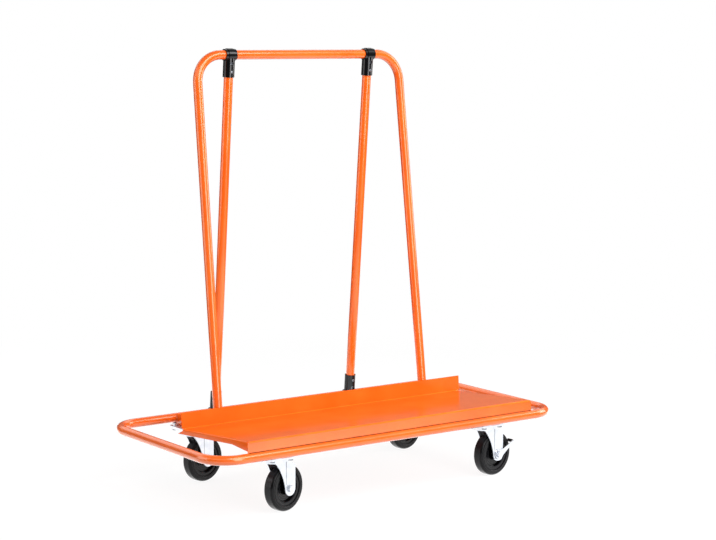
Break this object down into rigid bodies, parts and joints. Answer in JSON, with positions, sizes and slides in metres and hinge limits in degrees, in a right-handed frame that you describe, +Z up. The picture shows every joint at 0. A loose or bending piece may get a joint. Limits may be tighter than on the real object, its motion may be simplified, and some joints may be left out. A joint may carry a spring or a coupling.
{
  "type": "drywall cart",
  "caption": "Tubular panel cart with a sloping lipped deck, a leaning braced hoop and swivel casters, brakes at one end, for moving drywall and other sheets on edge.",
  "frame": {"origin": "on the floor, under the middle of the base loop", "axes": "+X along the cart towards the braked casters, -Y the loading side where the deck's skirt is, +Z up"},
  "size_m": [1.168, 0.5649, 1.1949],
  "materials": {
    "orange_powder_coat": "glossy orange powder coat over steel tube and sheet",
    "black_clamp_coat": "satin black coat on pressed steel clamp shells",
    "zinc_plated_steel": "bright zinc plate on pressed steel and fasteners",
    "bearing_steel": "polished bare steel",
    "black_core_plastic": "moulded black wheel core",
    "black_tyre_rubber": "moulded black solid rubber with turned rings on the side walls"
  },
  "bodies": {
    "cart_frame": {"base_front_rail": "orange_powder_coat", "base_rear_rail": "orange_powder_coat", "base_left_bow": "orange_powder_coat", "base_right_bow": "orange_powder_coat", "left_channel": "orange_powder_coat", "right_channel": "orange_powder_coat", "deck": "orange_powder_coat", "hoop": "orange_powder_coat", "left_brace": "orange_powder_coat", "right_brace": "orange_powder_coat", "caster_pads": "zinc_plated_steel", "clamp_bolts": "zinc_plated_steel", "clamp_nuts": "zinc_plated_steel", "foot_bolts": "zinc_plated_steel", "foot_nuts": "zinc_plated_steel", "caster_bolts": "zinc_plated_steel", "caster_nuts": "zinc_plated_steel", "upper_left_clamp_front": "black_clamp_coat", "upper_left_clamp_rear": "black_clamp_coat", "upper_right_clamp_front": "black_clamp_coat", "upper_right_clamp_rear": "black_clamp_coat", "lower_left_clamp_front": "black_clamp_coat", "lower_left_clamp_rear": "black_clamp_coat", "lower_right_clamp_front": "black_clamp_coat", "lower_right_clamp_rear": "black_clamp_coat", "front_left_top_plate": "zinc_plated_steel", "front_left_kingpin": "zinc_plated_steel", "front_right_top_plate": "zinc_plated_steel", "front_right_kingpin": "zinc_plated_steel", "rear_left_top_plate": "zinc_plated_steel", "rear_left_kingpin": "zinc_plated_steel", "rear_right_top_plate": "zinc_plated_steel", "rear_right_kingpin": "zinc_plated_steel"},
    "front_left_swivel": {"front_left_fork": "zinc_plated_steel", "front_left_swivel_balls": "bearing_steel", "front_left_axle_bolt": "zinc_plated_steel", "front_left_axle_sleeve": "bearing_steel"},
    "front_left_wheel": {"front_left_wheel_core": "black_core_plastic", "front_left_tyre": "black_tyre_rubber"},
    "front_right_swivel": {"front_right_fork": "zinc_plated_steel", "front_right_swivel_balls": "bearing_steel", "front_right_axle_bolt": "zinc_plated_steel", "front_right_axle_sleeve": "bearing_steel"},
    "front_right_wheel": {"front_right_wheel_core": "black_core_plastic", "front_right_tyre": "black_tyre_rubber"},
    "front_right_brake": {"front_right_brake_lever": "zinc_plated_steel"},
    "rear_left_swivel": {"rear_left_fork": "zinc_plated_steel", "rear_left_swivel_balls": "bearing_steel", "rear_left_axle_bolt": "zinc_plated_steel", "rear_left_axle_sleeve": "bearing_steel"},
    "rear_left_wheel": {"rear_left_wheel_core": "black_core_plastic", "rear_left_tyre": "black_tyre_rubber"},
    "rear_right_swivel": {"rear_right_fork": "zinc_plated_steel", "rear_right_swivel_balls": "bearing_steel", "rear_right_axle_bolt": "zinc_plated_steel", "rear_right_axle_sleeve": "bearing_steel"},
    "rear_right_wheel": {"rear_right_wheel_core": "black_core_plastic", "rear_right_tyre": "black_tyre_rubber"},
    "rear_right_brake": {"rear_right_brake_lever": "zinc_plated_steel"}
  },
  "joints": [
    {"name": "front_left_swivel_turn", "type": "hinge", "parent": "cart_frame", "child": "front_left_swivel", "pos_m": [-0.356, -0.201, 0.148], "axis": [0, 0, 1], "continuous": true},
    {"name": "front_left_wheel_spin", "type": "hinge", "parent": "front_left_swivel", "child": "front_left_wheel", "pos_m": [-0.31525, -0.19084, 0.0625], "axis": [-0.2419, 0.9703, 0], "continuous": true},
    {"name": "front_right_swivel_turn", "type": "hinge", "parent": "cart_frame", "child": "front_right_swivel", "pos_m": [0.356, -0.201, 0.148], "axis": [0, 0, 1], "continuous": true},
    {"name": "front_right_wheel_spin", "type": "hinge", "parent": "front_right_swivel", "child": "front_right_wheel", "pos_m": [0.39764, -0.19552, 0.0625], "axis": [-0.1305, 0.9914, 0], "continuous": true},
    {"name": "front_right_brake_press", "type": "hinge", "parent": "front_right_swivel", "child": "front_right_brake", "pos_m": [0.39764, -0.19552, 0.0625], "axis": [-0.1305, 0.9914, 0], "range_deg": [0, 28]},
    {"name": "rear_left_swivel_turn", "type": "hinge", "parent": "cart_frame", "child": "rear_left_swivel", "pos_m": [-0.356, 0.201, 0.148], "axis": [0, 0, 1], "continuous": true},
    {"name": "rear_left_wheel_spin", "type": "hinge", "parent": "rear_left_swivel", "child": "rear_left_wheel", "pos_m": [-0.31477, 0.20901, 0.0625], "axis": [-0.1908, 0.9816, 0], "continuous": true},
    {"name": "rear_right_swivel_turn", "type": "hinge", "parent": "cart_frame", "child": "rear_right_swivel", "pos_m": [0.356, 0.201, 0.148], "axis": [0, 0, 1], "continuous": true},
    {"name": "rear_right_wheel_spin", "type": "hinge", "parent": "rear_right_swivel", "child": "rear_right_wheel", "pos_m": [0.39736, 0.20829, 0.0625], "axis": [-0.1736, 0.9848, 0], "continuous": true},
    {"name": "rear_right_brake_press", "type": "hinge", "parent": "rear_right_swivel", "child": "rear_right_brake", "pos_m": [0.39736, 0.20829, 0.0625], "axis": [-0.1736, 0.9848, 0], "range_deg": [0, 28]}
  ]
}
